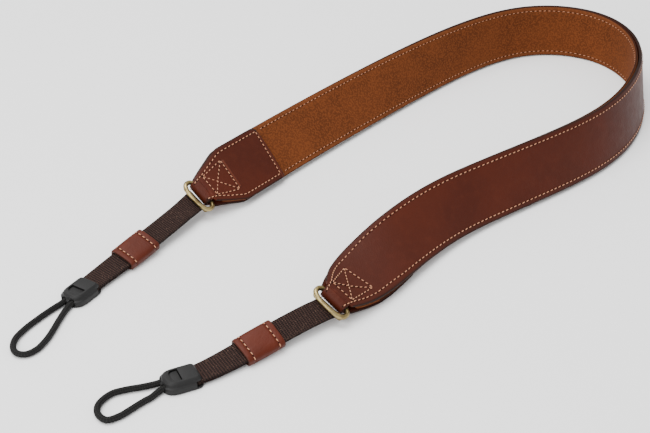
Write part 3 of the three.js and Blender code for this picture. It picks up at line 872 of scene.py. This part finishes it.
def make_webbing(name, end):
    run = WebbingRun(end)
    tight, wide = (WEBBING_LAYER + GAP) / 2, BAR_WIRE + BAR_PLAY + WEBBING_LAYER / 2
    fold = math.pi * wide
    total = 2 * run.length + fold
    outline = strip_outline(WEBBING_WIDTH / 2, WEBBING_LAYER, WEBBING_EDGE)
    outline.append(outline[0])
    girth = 2 * (WEBBING_WIDTH + WEBBING_LAYER)

    def place(u, v):
        walked = u * total
        if run.length < walked < run.length + fold:
            axes, turn = run.axes(0), math.pi / 2 + (walked - run.length) / wide
            face = axes.normal * math.sin(turn) + axes.along * math.cos(turn)
            centre = axes.centre + face * wide
        else:
            sign = 1 if walked <= run.length else -1
            distance = run.length - walked if sign > 0 else walked - run.length - fold
            axes = run.axes(distance)
            face = axes.normal * sign
            open_by = 1 - ease(distance, 0, WEBBING_CLOSE)
            centre = axes.centre + face * mix(tight, wide, open_by)
        across, out = outline[round(v * (len(outline) - 1))]
        rib = RIB_HEIGHT * math.sin(2 * math.pi * walked / RIB)
        out += math.copysign(rib, out) if abs(across) < WEBBING_WIDTH / 2 - RIBBED_TO else 0
        return centre + axes.across * across + face * out

    bm = bmesh.new()
    columns = round(total / WEAVE_STEP)
    skin(bm, columns, len(outline) - 1, place, (total, girth))
    finish_piece(f"ribbed_webbing_{name}", bm, [WEAVE], [f"webbing_{name}"])


def make_keeper(name, end):
    run = WebbingRun(end)
    middle = run.length * end["keeper_at"]
    half, rise = KEEPER_WIDTH / 2, KEEPER_HEIGHT / 2
    lip = KEEPER_WALL / 2
    span = KEEPER_LENGTH - 2 * lip
    outer = [(mix(-0.5, 0.5, i / KEEPER_STEPS) * span, 0) for i in range(KEEPER_STEPS + 1)]
    profile = list(outer)
    for side in (1, -1):
        for k in range(1, LIP_STEPS):
            turn = math.pi * k / LIP_STEPS
            inset = lip * (1 - math.cos(turn))
            profile.append((
                side * (KEEPER_LENGTH / 2 - lip + lip * math.sin(turn)),
                inset if side > 0 else KEEPER_WALL - inset,
            ))
        if side > 0:
            profile += [(-t, KEEPER_WALL) for t, _ in outer]
    profile.append(profile[0])

    def shell_point(t, inset, turn):
        axes = run.axes(middle + t)
        from_seam = (abs(t) - (KEEPER_LENGTH / 2 - KEEPER_SEAM)) / PINCH_WIDTH
        pinch = PINCH * math.exp(-(from_seam ** 2)) if not inset else 0
        a = (half - inset - pinch) * squared(math.cos(turn), KEEPER_SQUARENESS)
        b = (rise - inset - pinch) * squared(math.sin(turn), KEEPER_SQUARENESS)
        return axes.at(0, a, b)

    def place(u, v):
        t, inset = profile[round(u * (len(profile) - 1))]
        return shell_point(t, inset, 2 * math.pi * v)

    bm = bmesh.new()
    skin(bm, len(profile) - 1, KEEPER_ROUND, place, (1, 1), ring=True)
    uv = bm.loops.layers.uv.verify()
    for face in bm.faces:
        for loop in face.loops:
            t = (loop.vert.co / MM - run.axes(middle).centre).dot(run.axes(middle).along)
            loop[uv].uv = (t + KEEPER_LENGTH / 2, 0)
    finish_piece(f"leather_keeper_{name}", bm, [KEEPER], [f"keeper_{name}"])
    seam = Seam()
    for t in (-1, 1):
        t *= KEEPER_LENGTH / 2 - KEEPER_SEAM
        for start in (0, 180):
            route = []
            for degrees in range(start + 8, start + 173, 3):
                turn = math.radians(degrees)
                point = shell_point(t, 0, turn)
                around = shell_point(t, 0, turn + 0.05) - shell_point(t, 0, turn - 0.05)
                route.append((point, around.cross(run.axes(middle + t).along).normalized()))
            if route[0][1].dot(route[0][0] - run.axes(middle + t).centre) < 0:
                route = [(p, -n) for p, n in route]
            seam.sew(route, pitch=2.5, long=1.6, thick=0.55)
    seam.pieces(f"keeper_stitches_{name}")


# Connectors


def make_connector(name):
    for part, softness in (("housing", 0.35), ("plug", 0.25)):
        bm = copy_of(f"connector_{part}_{name}")
        bmesh.ops.dissolve_limit(
            bm, angle_limit=math.radians(1), verts=bm.verts, edges=bm.edges, use_dissolve_boundaries=False
        )
        piece = finish_piece(
            f"moulded_{part}_{name}", bm, [PLASTIC],
            [f"connector_{part}_{name}"],
        )
        softener = piece.modifiers.new("soft_edges", "BEVEL")
        softener.width, softener.segments = softness * MM, 3
        softener.limit_method, softener.angle_limit = "ANGLE", math.radians(28)
        softener.harden_normals = True


for end_name, end_facts in ENDS.items():
    make_ring(end_name, end_facts)
    make_webbing(end_name, end_facts)
    make_keeper(end_name, end_facts)
    make_connector(end_name)

# Floor and light


def add_floor():
    bm = bmesh.new()
    bmesh.ops.create_grid(bm, x_segments=2, y_segments=2, size=4)
    mesh = bpy.data.meshes.new("floor")
    bm.to_mesh(mesh)
    bm.free()
    floor = bpy.data.objects.new("floor", mesh)
    mesh.materials.append(floor_finish())
    bpy.context.scene.collection.objects.link(floor)


def add_light(name, place, size, power):
    lamp = bpy.data.lights.new(name, "AREA")
    lamp.size, lamp.energy = size, power
    light = bpy.data.objects.new(name, lamp)
    light.location = place
    light.rotation_euler = (TARGET - Vector(place)).to_track_quat("-Z", "Y").to_euler()
    bpy.context.scene.collection.objects.link(light)


def add_world():
    world = bpy.data.worlds.new("studio")
    world.use_nodes = True
    sky = world.node_tree.nodes["Background"]
    sky.inputs["Color"].default_value = (1, 1, 1, 1)
    sky.inputs["Strength"].default_value = 0.95
    bpy.context.scene.world = world


add_floor()
add_light("overhead", (-0.2, 0.3, 1.4), 1.2, 30)
add_light("from_the_left", (-1.2, -0.2, 0.8), 0.8, 11)
add_world()
